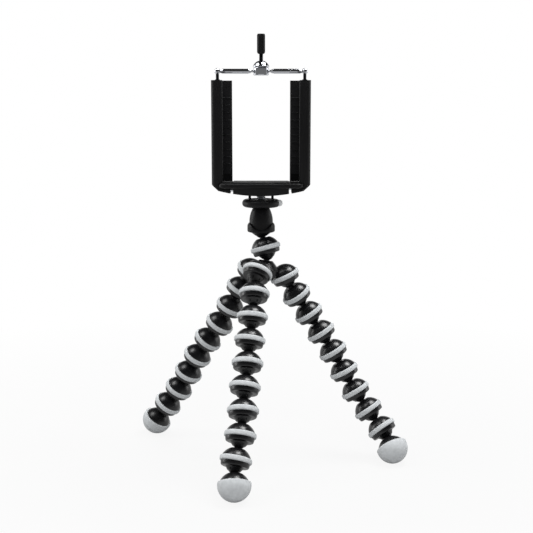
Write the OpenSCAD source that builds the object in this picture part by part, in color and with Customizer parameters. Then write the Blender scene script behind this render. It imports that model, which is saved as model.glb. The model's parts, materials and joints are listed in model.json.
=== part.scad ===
// Flexible leg tripod with a phone holder on its camera screw.
// Three legs of ball-jointed links carry a hub, a neck link and a screw head.
// Millimetres, +Z up, origin on the floor in the middle of the footprint.

/* [Leg links] */
// Outer diameter of a grip ring
ring_d = 21; // [18:0.5:24]
// Width of a grip ring along the leg
ring_w = 3.4; // [2.6:0.1:4.2]
// Diameter of the groove floor that carries the ring
groove_d = 17.2; // [15.5:0.1:17.6]
// Distance from one ball centre to the next
link_pitch = 16; // [15:0.1:18]
// Distance from a stud ball's centre to its own ring
stud_reach = 11.5; // [11:0.1:12.5]
// Diameter of a stud ball
ball_d = 9; // [8.6:0.1:9.6]
// Diameter of the neck under a stud ball
neck_d = 4.2; // [3.6:0.1:4.4]
// Height of the dome above the ring's middle
dome_h = 7; // [6:0.1:7.4]
// Diameter of the dome at the ring
dome_edge_d = 18.8; // [18:0.1:20]
// Diameter of the flat on top of the dome
dome_top_d = 9.2; // [8:0.1:10]
// Diameter of the skirt just below the ring
skirt_d = 19; // [18:0.1:20]
// Diameter of the skirt at its lower edge
skirt_foot_d = 18; // [17:0.1:19]
// Distance from the ring's middle to the skirt's lower edge
skirt_h = 4.6; // [4:0.1:5.4]
// Rounding of the skirt's lower edge
skirt_round = 1; // [0.4:0.1:1.4]
// Diameter of the socket collar where it leaves the skirt
collar_d = 12.2; // [11.6:0.1:13.4]
// How far the socket lip closes past the ball's centre
lip_drop = 2.6; // [2.2:0.1:2.8]
// Thickness of the socket lip at its tip
lip_wall = 0.32; // [0.25:0.01:0.5]
// Width of the slits that let the collar spring
slit_w = 0.9; // [0.5:0.1:1.4]
// Length of the slits, up from the lip
slit_len = 1.3; // [0.8:0.1:1.6]

/* [Feet] */
// Diameter of a foot
foot_d = 21.6; // [19:0.1:23]
// Wall of the rubber foot cap
foot_cap_wall = 2; // [1.2:0.1:3]
// How far the rubber cap reaches above the foot's middle
foot_cap_rise = 1.6; // [0:0.1:2]

/* [Hub] */
// Distance from the hub's axis to the middle of each of its rings
lobe_r = 14.5; // [13.5:0.1:17]
// Angle between the hub's axis and each of its sockets
lobe_tilt = 34; // [25:1:40]
// Height of the top stud ball above the hub's ring level
hub_stud_h = 13.2; // [12.6:0.1:15]
// Diameter of the block that ties the three sockets together
hub_block_d = 21; // [18:0.5:24]
// Depth of that block below the hub's ring level
hub_block_drop = 2.4; // [1:0.1:3]
// Rounding of the block's lower edge
hub_block_round = 1.6; // [0.5:0.1:2]

/* [Head] */
// Diameter of the head's socket cup
cup_d = 19; // [18:0.1:20.5]
// How far the cup's ears reach below the ball's centre
cup_drop = 0.1; // [0:0.05:0.4]
// Diameter of the cup's cone where it leaves the ears
cup_foot_d = 14.8; // [13:0.1:16]
// Rounding of the ears' upper edge
cup_round = 3; // [2:0.1:3.4]
// Height of the cup's side ears above the ball's centre
cup_ear_h = 6.8; // [5:0.1:8]
// Radius of the round scoops in the front and back of the cup
cup_scoop_r = 8.6; // [8.4:0.1:9.4]
// Height of the scoops' centre above the ball's centre
cup_scoop_h = 10; // [9.8:0.1:11]
// Widest diameter of the pear-shaped neck
pear_d = 16.2; // [15:0.1:16.6]
// Height of the neck's lower end above the ball's centre
pear_foot_h = 1.1; // [0.8:0.1:1.4]
// Height above the ball's centre where the neck is widest
pear_wide_h = 7; // [5:0.1:8]
// Diameter of the neck where it meets the platform
pear_top_d = 10.4; // [9.4:0.1:11]
// Height of the platform's underside above the ball's centre
pear_h = 17.2; // [15:0.1:19]
// Diameter of the spigot on top of the neck
spigot_d = 8.6; // [8:0.1:8.8]
// Height of that spigot
spigot_h = 1.6; // [1.2:0.1:2]
// Diameter of the camera platform
platform_d = 26; // [24:0.5:32]
// Thickness of the camera platform
platform_t = 5.2; // [5:0.1:7]
// Outer diameter of the rubber pad let into the platform
pad_d = 16; // [13:0.5:16]
// Inner diameter of that pad
pad_hole_d = 9; // [7.5:0.1:11]
// Thickness of that pad
pad_t = 0.8; // [0.5:0.1:1]

/* [Camera screw] */
// Outer diameter of the quarter inch camera thread
screw_d = 6.35; // [5.5:0.05:7]
// Diameter of the screw's head
screw_head_d = 8.5; // [8.2:0.1:8.6]
// Thickness of the screw's head
screw_head_t = 1.6; // [1.2:0.1:1.8]
// Length of thread that stands above the platform
screw_reach = 7.2; // [6.5:0.1:7.4]

/* [Lock button] */
// Width of the lock button
button_w = 8; // [6:0.1:9]
// Height of the lock button
button_h = 3.8; // [3:0.1:4]
// How far the button stands out of the platform's rim
button_out = 1.8; // [1.4:0.1:2.4]
// Depth of the button inside the rim
button_in = 3.2; // [2.6:0.1:3.4]
// How far the button is pressed in
button_travel = 1.2; // [0.8:0.1:1.3]

/* [Holder base] */
// Gap between the platform and the holder's base
base_gap = 2.8; // [1:0.1:3]
// Length of the base plate
plate_l = 58; // [54:0.1:60]
// Depth of the base plate, front to back
plate_d = 25; // [22:0.5:27]
// Rounding of the base plate's corners, seen from above
plate_corner = 5; // [3:0.1:8]
// Thickness of the base plate
plate_t = 3.4; // [3:0.1:4]
// Rounding of the plate's edge
plate_round = 1.4; // [0.6:0.1:1.45]
// Length of the raised seat between the closed jaws
seat_l = 38; // [34:0.5:39]
// Height of that seat above the plate
seat_rise = 0.4; // [0.2:0.1:0.8]
// Margin between the seat and the plate's rounded edge
seat_margin = 0.6; // [0.3:0.1:2]
// Height of the keel under the plate, at the middle
keel_h = 5.4; // [5.2:0.1:7]
// Length of the keel block that stays with the plate
keel_l = 38; // [36:0.5:39]
// Depth of the keel, front to back
keel_d = 17; // [16.6:0.1:18]
// Radius of the arch along the underside
arch_r = 118; // [110:1:160]
// Outer diameter of the threaded insert
insert_d = 8.8; // [8.4:0.1:9]
// Length of the threaded insert
insert_l = 4.8; // [4.6:0.1:5]
// Diameter of the two stop pegs under the keel
peg_d = 1.8; // [1:0.1:2.4]
// Distance between the two stop pegs
peg_span = 15.6; // [12:0.1:18]

/* [Jaws] */
// Width over both closed jaws
holder_w = 67; // [64:0.5:76]
// Height of the jaws above the base plate
jaw_h = 68.5; // [50:0.5:100]
// Depth of a jaw, front to back
jaw_d = 18; // [16.8:0.1:20]
// Width of the front lip
jaw_front_w = 7.7; // [6:0.1:11]
// Width of the back wall
jaw_back_w = 13.7; // [12:0.1:14]
// Thickness of the front lip and the back wall
jaw_wall = 2.2; // [1.6:0.1:2.8]
// Thickness of the side wall
jaw_side_wall = 2.6; // [2.2:0.1:3.2]
// Rounding of a jaw's outer edges
jaw_round = 3; // [2:0.1:4]
// Width of the bevel at a jaw's lower outer corner
heel_w = 4.6; // [3:0.1:5]
// Height of that bevel
heel_h = 4.2; // [2:0.1:5]
// Gap between a closed jaw's foot and the keel block
foot_gap = 1.8; // [0.5:0.1:3]
// Height of the rear ear that takes the arm's pin
ear_h = 6; // [5:0.1:9]
// Diameter of the rear ear
ear_d = 6; // [5:0.1:7]
// Thickness of a rubber pad's backing
grip_pad_t = 1; // [0.6:0.1:1.4]
// Height of the ribs on a rubber pad
grip_rib_h = 0.6; // [0.3:0.1:0.8]
// Distance from one pad rib to the next
grip_rib_pitch = 5; // [3:0.5:8]
// Margin between a pad and the ends of its wall
grip_pad_margin = 5; // [2:0.5:10]
// Diameter of a guide rod under the plate
guide_d = 2; // [1.6:0.1:2.2]
// Distance of a guide rod from the middle, front or back
guide_y = 6.6; // [6.4:0.1:6.8]
// Depth of a guide rod in its jaw's foot
guide_grip = 4; // [2.5:0.1:4.5]
// How far each jaw slides out
jaw_travel = 10; // [4:0.5:11]

/* [Spreader bar] */
// Distance of the bar behind the holder's middle
bar_back = 12.5; // [12:0.1:14]
// Height of the bar above the jaws
bar_rise = 6.4; // [5:0.1:8]
// Distance from the middle to each arm's pin
pin_x = 30; // [28:0.1:31]
// Diameter of an arm's pin
pin_d = 2.2; // [1.6:0.1:2.4]
// Depth of a pin in its ear
pin_depth = 5; // [3:0.1:5]
// Diameter of the collar on a pin
pin_collar_d = 3.6; // [3:0.1:4]
// Thickness of that collar
pin_collar_t = 0.8; // [0.5:0.1:1.2]
// Diameter of the ball end of an arm
arm_ball_d = 4.2; // [3.8:0.1:4.8]
// Diameter of an arm's tube
arm_d = 3.4; // [2.9:0.1:3.8]
// Diameter of an arm's tip
arm_tip_d = 2.3; // [2.2:0.1:2.8]
// Length of the taper at an arm's tip
arm_taper = 2.2; // [1:0.1:4]
// Distance from the middle to a closed arm's tip
arm_tip_x = 6.8; // [6.3:0.1:8]
// Diameter of the rod inside the arms
rod_d = 1.6; // [1.2:0.1:1.7]
// Length of that rod
rod_l = 48; // [40:0.5:49]
// Diameter of the clamp's body
clamp_d = 10.8; // [9:0.1:11.4]
// Height of the clamp's body
clamp_h = 5.8; // [4.4:0.1:6.5]
// Rounding of the clamp body's edges
clamp_round = 1; // [0.3:0.1:2]
// Diameter of the clamp's washer
washer_d = 11.4; // [10:0.1:13]
// Thickness of the clamp's washer
washer_t = 0.9; // [0.8:0.1:2]
// Diameter of the clamp's dome nut
dome_nut_d = 11; // [9.6:0.1:12]
// Height of the clamp's dome nut
dome_nut_h = 3.1; // [2.8:0.1:5]
// Diameter of the thumb screw's stem
stem_d = 2.9; // [2.4:0.1:3.2]
// Bare length of the stem above the dome nut
stem_bare = 4.8; // [3:0.1:8]
// Widest diameter of the thumb grip
grip_d = 5.6; // [4.8:0.1:6.5]
// Diameter of the thumb grip at its top
grip_top_d = 4.7; // [4:0.1:4.8]
// Length of the thumb grip
grip_l = 13.4; // [10:0.1:18]
// Depth of the flutes in the thumb grip
flute_depth = 0.3; // [0.1:0.05:0.4]
// Diameter of the cutter that makes a flute
flute_d = 0.9; // [0.6:0.1:1.1]

/* [Clearances] */
// Gap round a ball in its socket
ball_gap = 0.12; // [0.08:0.01:0.2]
// Gap round a rubber ring, cap or pad on its carrier
rubber_gap = 0.08; // [0.05:0.01:0.15]
// Gap round a rod, stem or screw that turns or slides in a bore
run_gap = 0.05; // [0.03:0.01:0.1]
// Gap between a jaw and the plate that it slides on
slide_gap = 0.3; // [0.2:0.05:0.5]

/* [Hidden] */
$fn = 64;
LEGS = ["front", "right", "left"];
LINKS = 8;
FLUTES = 10;
SLITS = 3;
black = "#1d1d20";
grey = "#c6c6c4";
chrome = "#d4d6da";
brass = "#b59a5a";

// Stance: the hub's lean, the neck's lean and every link's tilt and turn
lobe_turn = [-110, 10, 130];
hub_lean = 11;
hub_lean_turn = 40;
neck_lean = 17;
neck_lean_turn = -26;
link_tilt = [
    [34, 26, 27, 32, 32, 33, 32, 32],
    [34, 33, 33, 32, 29, 33, 38, 43],
    [31, 30, 35, 38, 33, 31, 33, 37],
];
link_turn = [
    [-96, -100, -105, -98, -102, -95, -103, -110],
    [14, 1, -5, -7, -13, -18, -23, -35],
    [161, 153, 154, 156, 150, 148, 154, 159],
];
foot_turn = [-90, -61, 160];
front_foot_tilt = 36;

// Flat left between the roundings of a rim
rim_flat = 0.4;
// How far a cut runs past the face that it opens, and a root into its neighbour
past = 1;
// How far a rib or an ear is sunk into the wall that carries it
sunk = 0.1;

// Radii and levels on a link, measured from the stud ball's centre down the leg
ball_r = ball_d / 2;
cavity_r = ball_r + ball_gap;
foot_r = foot_d / 2;
socket_drop = link_pitch - stud_reach;
lip_r = sqrt(cavity_r * cavity_r - lip_drop * lip_drop) + lip_wall;
lip_s = link_pitch + lip_drop;
skirt_s = stud_reach + skirt_h;
ring_top_s = stud_reach - ring_w / 2;
ring_foot_s = stud_reach + ring_w / 2;
dome_top_s = stud_reach - dome_h;

// The dome is a sphere through its top flat's edge and its edge at the ring
function sphere_level(r1, s1, r2, s2) = (r2 * r2 + s2 * s2 - r1 * r1 - s1 * s1) / (2 * (s2 - s1));
dome_s = sphere_level(dome_top_d / 2, dome_top_s, dome_edge_d / 2, ring_top_s);
dome_r = norm([dome_top_d / 2, dome_top_s - dome_s]);

// Directions and turns
function aim(tilt, turn) = [sin(tilt) * cos(turn), sin(tilt) * sin(turn), -cos(tilt)];
function turn_z(v, a) = [v.x * cos(a) - v.y * sin(a), v.x * sin(a) + v.y * cos(a), v.z];
function turn_y(v, a) = [v.x * cos(a) + v.z * sin(a), v.y, v.z * cos(a) - v.x * sin(a)];
function hub_leant(v) = turn_z(turn_y(turn_z(v, -hub_lean_turn), hub_lean), hub_lean_turn);
function sum(list, n) = n == 0 ? 0 * list[0] : list[n - 1] + sum(list, n - 1);

// Ball centres, first measured from the hub
lobe_socket = [lobe_r + socket_drop * sin(lobe_tilt), 0, -socket_drop * cos(lobe_tilt)];
function steps(leg) = [for (i = [0:LINKS - 1]) link_pitch * aim(link_tilt[leg][i], link_turn[leg][i])];
function from_hub(leg, i) = hub_leant(turn_z(lobe_socket, lobe_turn[leg])) + sum(steps(leg), i);
hub_z = foot_r - from_hub(0, LINKS).z + stud_reach * cos(front_foot_tilt);
function foot_tilt(leg) = acos(max(0, min(1, (hub_z + from_hub(leg, LINKS).z - foot_r) / stud_reach)));
feet = [for (leg = [0:2]) from_hub(leg, LINKS) + stud_reach * aim(foot_tilt(leg), foot_turn[leg])];
foot_x = [for (f = feet) f.x];
foot_y = [for (f = feet) f.y];
hub_at = [-(max(foot_x) + min(foot_x)) / 2, -(max(foot_y) + min(foot_y)) / 2, hub_z];
function ball_at(leg, i) = hub_at + from_hub(leg, i);
hub_ball_at = hub_at + hub_leant([0, 0, hub_stud_h]);
head_at = hub_ball_at - link_pitch * aim(neck_lean, neck_lean_turn);

// Levels above the head's ball centre
platform_top = pear_h + platform_t;
pocket_top = pear_h + spigot_h + screw_head_t + run_gap;
keel_z = platform_top + base_gap;
plate_z = keel_z + keel_h;
plate_top = plate_z + plate_t;
seat_top = plate_top + seat_rise;
jaw_z = plate_top + slide_gap;
jaw_top = jaw_z + jaw_h;
bar_z = jaw_top + bar_rise;
clamp_z = bar_z - clamp_h / 2;
washer_z = clamp_z + clamp_h;
dome_nut_z = washer_z + washer_t;
stem_z = bar_z + rod_d / 2 + run_gap;
grip_z = dome_nut_z + dome_nut_h + stem_bare;
guide_z = plate_z - slide_gap - guide_d / 2 - run_gap;
button_z = pear_h + platform_t / 2;
jaw_side_x = holder_w / 2 - jaw_side_wall;
foot_in_x = keel_l / 2 + foot_gap;

function link_name(leg, i) = str(LEGS[leg], "_link_", i + 1);
function foot_name(leg) = str(LEGS[leg], "_foot");
function cap_name(leg) = str(LEGS[leg], "_foot_cap");
LINK_NODES = [for (leg = [0:2]) for (i = [0:LINKS - 1]) link_name(leg, i)];
FOOT_NODES = [for (leg = [0:2]) for (name = [foot_name(leg), cap_name(leg)]) name];
HEAD_NODES = ["head_cup", "head_neck", "platform", "platform_pad", "camera_screw", "lock_button"];
JAW_NODES = [
    for (side = ["left", "right"])
        for (piece = ["jaw", "side_pad", "back_pad", "guide_rod", "arm", "arm_pin"]) str(piece, "_", side)
];
BAR_NODES = ["spreader_rod", "clamp_body", "clamp_washer", "clamp_dome", "screw_stem", "thumb_grip"];

// Placing
module at_ball(leg, i, tilt, turn) {
    translate(ball_at(leg, i)) rotate([0, 180 - tilt, turn]) children();
}

module at_hub() {
    translate(hub_at) rotate([0, 0, hub_lean_turn]) rotate([0, hub_lean, 0])
        rotate([0, 0, -hub_lean_turn]) children();
}

module at_lobe(leg) {
    at_hub() rotate([0, 0, lobe_turn[leg]]) translate([lobe_r, 0, 0])
        rotate([0, 180 - lobe_tilt, 0]) translate([0, 0, -stud_reach]) children();
}

module at_head() {
    translate(head_at) children();
}

module at_side(side) {
    at_head() mirror([side == "left" ? 1 : 0, 0, 0]) children();
}

// Half profiles, turned about the vertical axis
module band(r, s0, s1) {
    translate([0, s0]) square([r, s1 - s0]);
}

module dome_profile(top_s, foot_s) {
    intersection() {
        translate([0, dome_s]) circle(dome_r);
        band(dome_r, top_s, foot_s);
    }
}

module stud_profile() {
    intersection() {
        circle(ball_r);
        band(ball_r, -ball_r, ball_r);
    }
    band(neck_d / 2, 0, dome_top_s + past);
}

module socket_profile() {
    difference() {
        union() {
            band(groove_d / 2, ring_top_s - past, ring_foot_s + past);
            polygon([
                [0, ring_foot_s], [skirt_d / 2, ring_foot_s], [skirt_foot_d / 2, skirt_s - skirt_round],
                [skirt_foot_d / 2 - skirt_round, skirt_s], [0, skirt_s],
            ]);
            translate([skirt_foot_d / 2 - skirt_round, skirt_s - skirt_round]) circle(skirt_round);
            polygon([
                [0, skirt_s - past], [collar_d / 2, skirt_s - past], [collar_d / 2, skirt_s],
                [lip_r, lip_s], [0, lip_s],
            ]);
        }
        translate([0, link_pitch]) circle(cavity_r);
    }
}

// A stretch of rounded bar or disc: a rectangle with round outer corners
module round_edge(r, h, corner) {
    difference() {
        union() {
            square([r - corner, h]);
            translate([0, corner]) square([r, h - 2 * corner]);
            for (s = [corner, h - corner]) translate([r - corner, s]) circle(corner);
        }
        translate([-r - past, -past]) square([r + past, h + 2 * past]);
    }
}

// Slits through a socket collar
module collar_slits(span) {
    for (k = [0:SLITS - 1])
        rotate([0, 0, k * 180 / SLITS]) translate([-span / 2, -slit_w / 2, lip_s - slit_len])
            cube([span, slit_w, slit_len + past]);
}

module link_shell() {
    color(black) difference() {
        rotate_extrude() {
            stud_profile();
            dome_profile(dome_top_s, ring_top_s);
            socket_profile();
        }
        collar_slits(collar_d);
    }
}

module grip_ring() {
    corner = ring_w / 2 - rubber_gap - ring_w / 8;
    color(grey) translate([0, 0, ring_top_s + rubber_gap]) rotate_extrude() difference() {
        round_edge(ring_d / 2, ring_w - 2 * rubber_gap, corner);
        translate([0, -past]) square([groove_d / 2 + rubber_gap, ring_w + 2 * past]);
    }
}

// Legs
module leg_link(leg, i) {
    at_ball(leg, i, link_tilt[leg][i], link_turn[leg][i]) {
        link_shell();
        grip_ring();
    }
}

module at_foot(leg) {
    at_ball(leg, LINKS, foot_tilt(leg), foot_turn[leg]) children();
}

module leg_foot(leg) {
    split_s = stud_reach - foot_cap_rise;
    color(black) at_foot(leg) rotate_extrude() {
        stud_profile();
        dome_profile(dome_top_s, split_s);
        intersection() {
            translate([0, stud_reach]) circle(foot_r - foot_cap_wall - rubber_gap);
            band(foot_r, split_s - past, stud_reach + foot_r);
        }
    }
}

module leg_foot_cap(leg) {
    split_s = stud_reach - foot_cap_rise + rubber_gap;
    color(grey) at_foot(leg) rotate_extrude() difference() {
        intersection() {
            translate([0, stud_reach]) circle(foot_r);
            band(foot_r, split_s, stud_reach + foot_r);
        }
        translate([0, stud_reach]) circle(foot_r - foot_cap_wall);
    }
}

// Hub: three socket domes tied by a round block, with a stud ball on top
module hub_body() {
    color(black) difference() {
        union() {
            for (leg = [0:2]) at_lobe(leg) rotate_extrude() {
                dome_profile(dome_s - dome_r, ring_top_s);
                socket_profile();
            }
            at_hub() {
                translate([0, 0, hub_stud_h]) mirror([0, 0, 1]) rotate_extrude() stud_profile();
                hub_block();
            }
        }
        for (leg = [0:2]) at_lobe(leg) collar_slits(collar_d);
    }
}

module hub_block() {
    top_z = hub_stud_h - dome_top_s;
    rotate_extrude() {
        polygon([
            [0, 0], [hub_block_d / 2, 0], [hub_block_d / 2, top_z - hub_block_d / 2 + dome_top_d / 2],
            [dome_top_d / 2, top_z], [0, top_z],
        ]);
        translate([0, -hub_block_drop]) round_edge(hub_block_d / 2, hub_block_drop * 2, hub_block_round);
    }
}

module hub_rings() {
    for (leg = [0:2]) at_lobe(leg) grip_ring();
}

module neck_link() {
    translate(head_at) rotate([0, 180 - neck_lean, neck_lean_turn]) {
        link_shell();
        grip_ring();
    }
}

// Head: a scooped cup below, a pear-shaped neck above
module pear_profile(grow) {
    rise = pear_h - pear_wide_h;
    swing = (pear_d - pear_top_d) / 2;
    arc_r = (rise * rise + swing * swing) / (2 * swing);
    intersection() {
        translate([pear_d / 2 - arc_r, pear_wide_h]) circle(arc_r + grow);
        band(pear_d, pear_wide_h, pear_h);
    }
    band(pear_d / 2 + grow, pear_foot_h - grow, pear_wide_h);
}

module ear_profile() {
    r = cup_d / 2;
    h = cup_ear_h + cup_drop;
    square([r - skirt_round, h - cup_round]);
    square([r - cup_round, h]);
    translate([0, skirt_round]) square([r, h - skirt_round - cup_round]);
    translate([r - skirt_round, skirt_round]) circle(skirt_round);
    translate([r - cup_round, h - cup_round]) circle(cup_round);
}

module head_cup() {
    color(black) at_head() difference() {
        union() {
            translate([0, 0, -cup_drop]) rotate_extrude() ear_profile();
            rotate_extrude() polygon([
                [0, pear_foot_h], [cup_foot_d / 2, pear_foot_h], [cup_foot_d / 2, -cup_drop],
                [lip_r, -lip_drop], [0, -lip_drop],
            ]);
        }
        rotate_extrude() pear_profile(run_gap);
        sphere(cavity_r);
        translate([0, cup_d, cup_scoop_h]) rotate([90, 0, 0]) cylinder(r = cup_scoop_r, h = 2 * cup_d);
        translate([0, 0, link_pitch]) mirror([0, 0, 1]) collar_slits(cup_foot_d);
    }
}

module head_neck() {
    color(black) at_head() rotate_extrude() {
        difference() {
            pear_profile(0);
            circle(cavity_r);
        }
        band(spigot_d / 2, pear_h - past, pear_h + spigot_h - run_gap);
    }
}

module platform() {
    rim = (platform_t - rim_flat) / 2;
    color(black) at_head() difference() {
        translate([0, 0, pear_h]) rotate_extrude() round_edge(platform_d / 2, platform_t, rim);
        translate([0, 0, pear_h - past])
            cylinder(d = screw_head_d + 4 * run_gap, h = pocket_top - pear_h + past);
        cylinder(d = screw_d + 2 * run_gap, h = platform_top + past);
        translate([0, 0, platform_top - pad_t]) difference() {
            cylinder(d = pad_d + 2 * rubber_gap, h = pad_t + past);
            cylinder(d = pad_hole_d - 2 * rubber_gap, h = pad_t + past);
        }
        button_pocket();
    }
}

module button_pocket() {
    inner_x = platform_d / 2 - button_in - button_travel - run_gap;
    wide = button_w + 2 * run_gap;
    tall = button_h + 2 * run_gap;
    translate([inner_x, -wide / 2, button_z - tall / 2]) cube([platform_d, wide, tall]);
}

module platform_pad() {
    color("#26262a") at_head() translate([0, 0, platform_top - pad_t + run_gap]) difference() {
        cylinder(d = pad_d, h = pad_t - run_gap);
        translate([0, 0, -past]) cylinder(d = pad_hole_d, h = pad_t + 2 * past);
    }
}

module camera_screw() {
    color(chrome) at_head() {
        translate([0, 0, pear_h + spigot_h]) cylinder(d = screw_head_d, h = screw_head_t);
        translate([0, 0, pear_h + spigot_h]) cylinder(d = screw_d, h = platform_t - spigot_h + screw_reach);
    }
}

module lock_button() {
    out_r = platform_d / 2 + button_out;
    color(grey) at_head() intersection() {
        translate([0, 0, button_z - button_h / 2])
            rotate_extrude() round_edge(out_r, button_h, (button_h - rim_flat) / 2);
        translate([platform_d / 2 - button_in, -button_w / 2, button_z - button_h / 2])
            cube([button_in + 2 * button_out, button_w, button_h]);
    }
}

// Holder base: a plate with round corners on a keel block
module plate_shape(grow) {
    corner_x = plate_l / 2 - plate_corner;
    corner_y = plate_d / 2 - plate_corner;
    thick = plate_t + 2 * grow;
    translate([0, 0, plate_z - grow]) {
        translate([-corner_x, -corner_y, 0]) cube([2 * corner_x, 2 * corner_y, thick]);
        for (x = [-corner_x, corner_x]) for (y = [-corner_y, corner_y])
            translate([x, y, 0]) rotate_extrude() plate_edge(grow);
        for (m = [0, 1]) mirror([0, m, 0]) translate([-corner_x, corner_y, 0])
            rotate([90, 0, 90]) linear_extrude(2 * corner_x) plate_edge(grow);
        for (m = [0, 1]) mirror([m, 0, 0]) translate([corner_x, corner_y, 0])
            rotate([90, 0, 0]) linear_extrude(2 * corner_y) plate_edge(grow);
    }
}

module plate_edge(grow) {
    round_edge(plate_corner + grow, plate_t + 2 * grow, plate_round + grow);
}

module plate_seat() {
    wide = plate_d - 2 * (plate_round + seat_margin);
    translate([-seat_l / 2, -wide / 2, plate_z + plate_t / 2])
        cube([seat_l, wide, plate_t / 2 + seat_rise]);
}

module arch(depth) {
    translate([0, depth / 2, keel_z + arch_r]) rotate([90, 0, 0])
        cylinder(r = arch_r, h = depth, $fn = 180);
}

module guide_bore(y) {
    translate([-holder_w, y, guide_z]) rotate([0, 90, 0])
        cylinder(d = guide_d + 2 * run_gap, h = 2 * holder_w);
}

module holder_base() {
    peg_z = platform_top + slide_gap / 3;
    color(black) at_head() difference() {
        union() {
            plate_shape(0);
            plate_seat();
            intersection() {
                arch(keel_d);
                translate([-keel_l / 2, -keel_d / 2, keel_z]) cube([keel_l, keel_d, keel_h + past]);
            }
            for (x = [-peg_span / 2, peg_span / 2])
                translate([x, 0, peg_z]) cylinder(d = peg_d, h = plate_z - peg_z);
        }
        cylinder(d = insert_d + 2 * run_gap, h = keel_z + insert_l + run_gap);
        guide_bore(-guide_y);
        guide_bore(guide_y);
    }
}

module thread_insert() {
    color(brass) at_head() translate([0, 0, keel_z]) difference() {
        cylinder(d = insert_d, h = insert_l);
        translate([0, 0, -past]) cylinder(d = screw_d + 2 * run_gap, h = insert_l + 2 * past);
    }
}

// Jaws, drawn for the right-hand side
module jaw_outline(in_x) {
    out_x = holder_w / 2;
    translate([in_x, -jaw_d / 2]) square([out_x - jaw_round - in_x, jaw_d]);
    translate([in_x, -jaw_d / 2 + jaw_round]) square([out_x - in_x, jaw_d - 2 * jaw_round]);
    for (y = [-1, 1]) translate([out_x - jaw_round, y * (jaw_d / 2 - jaw_round)]) circle(jaw_round);
}

module jaw_section() {
    back_x = holder_w / 2 - jaw_back_w;
    front_x = holder_w / 2 - jaw_front_w;
    lip_cut_w = front_x - back_x + jaw_wall / 2 + past;
    difference() {
        jaw_outline(back_x);
        translate([back_x - past, -jaw_d / 2 + jaw_wall])
            square([jaw_side_x - back_x + past, jaw_d - 2 * jaw_wall]);
        translate([back_x - past, -jaw_d / 2 - past]) square([lip_cut_w, jaw_d - jaw_wall]);
        translate([back_x - past, jaw_d / 2 - jaw_wall - past])
            square([jaw_wall / 2 + past, jaw_wall + 2 * past]);
    }
    for (tip = [[front_x, -1], [back_x, 1]])
        translate([tip.x + jaw_wall / 2, tip.y * (jaw_d - jaw_wall) / 2]) circle(jaw_wall / 2);
}

module jaw_heel() {
    in_x = holder_w / 2 - heel_w;
    low_z = keel_z + arch_r - sqrt(arch_r * arch_r - in_x * in_x);
    rotate([90, 0, 0]) linear_extrude(2 * jaw_d, center = true) polygon([
        [in_x - heel_w, low_z - heel_h], [holder_w / 2 + heel_w, low_z - heel_h],
        [holder_w / 2 + heel_w, low_z + 2 * heel_h],
    ]);
}

module jaw_ear() {
    back_y = jaw_d / 2 - sunk;
    reach = bar_back - back_y;
    translate([pin_x, bar_back, jaw_top - ear_h]) cylinder(d = ear_d, h = ear_h);
    translate([pin_x - ear_d / 2, 0, 0]) rotate([90, 0, 90]) linear_extrude(ear_d) polygon([
        [back_y, jaw_top - ear_h - reach], [bar_back, jaw_top - ear_h],
        [bar_back, jaw_top], [back_y, jaw_top],
    ]);
}

module jaw(side) {
    guide_side = side == "left" ? -1 : 1;
    color(black) at_side(side) difference() {
        union() {
            translate([0, 0, jaw_z]) linear_extrude(jaw_h) jaw_section();
            intersection() {
                arch(jaw_d);
                translate([0, 0, keel_z]) linear_extrude(jaw_z - keel_z) jaw_outline(foot_in_x);
            }
            jaw_ear();
        }
        plate_shape(slide_gap);
        jaw_heel();
        translate([pin_x, bar_back, jaw_top - pin_depth])
            cylinder(d = pin_d + 2 * run_gap, h = pin_depth + past);
        translate([0, guide_side * guide_y, guide_z]) rotate([0, 90, 0])
            cylinder(d = guide_d + 2 * run_gap, h = foot_in_x + guide_grip + run_gap);
    }
}

// Ribbed rubber pads
module ribbed_pad(w, h) {
    ribs = floor((h - grip_rib_pitch) / grip_rib_pitch);
    first = (h - (ribs - 1) * grip_rib_pitch) / 2;
    translate([0, -w / 2, 0]) cube([grip_pad_t, w, h]);
    for (k = [0:ribs - 1]) translate([0, 0, first + k * grip_rib_pitch]) rotate([90, 0, 0])
        linear_extrude(w, center = true) polygon([
            [-grip_rib_h, -grip_rib_h / 2], [sunk, -grip_rib_h],
            [sunk, grip_rib_h], [-grip_rib_h, grip_rib_h / 2],
        ]);
}

module side_pad(side) {
    wide = jaw_d - 2 * jaw_wall - 2 * (grip_pad_t + grip_rib_h);
    color("#2b2b2e") at_side(side)
        translate([jaw_side_x - grip_pad_t - rubber_gap, 0, jaw_z + grip_pad_margin])
            ribbed_pad(wide, jaw_h - 2 * grip_pad_margin);
}

module back_pad(side) {
    wide = jaw_back_w - jaw_side_wall - grip_pad_t - grip_rib_h - jaw_wall;
    mid_x = holder_w / 2 - jaw_back_w + jaw_wall / 2 + wide / 2;
    face_y = jaw_d / 2 - jaw_wall - grip_pad_t - rubber_gap;
    color("#2b2b2e") at_side(side) translate([mid_x, face_y, jaw_z + grip_pad_margin])
        rotate([0, 0, 90]) ribbed_pad(wide, jaw_h - 2 * grip_pad_margin);
}

module guide_rod(side) {
    guide_side = side == "left" ? -1 : 1;
    free_x = keel_l / 2 - past;
    color(chrome) at_side(side) translate([-free_x, guide_side * guide_y, guide_z]) rotate([0, 90, 0])
        cylinder(d = guide_d, h = foot_in_x + guide_grip + free_x);
}

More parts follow.
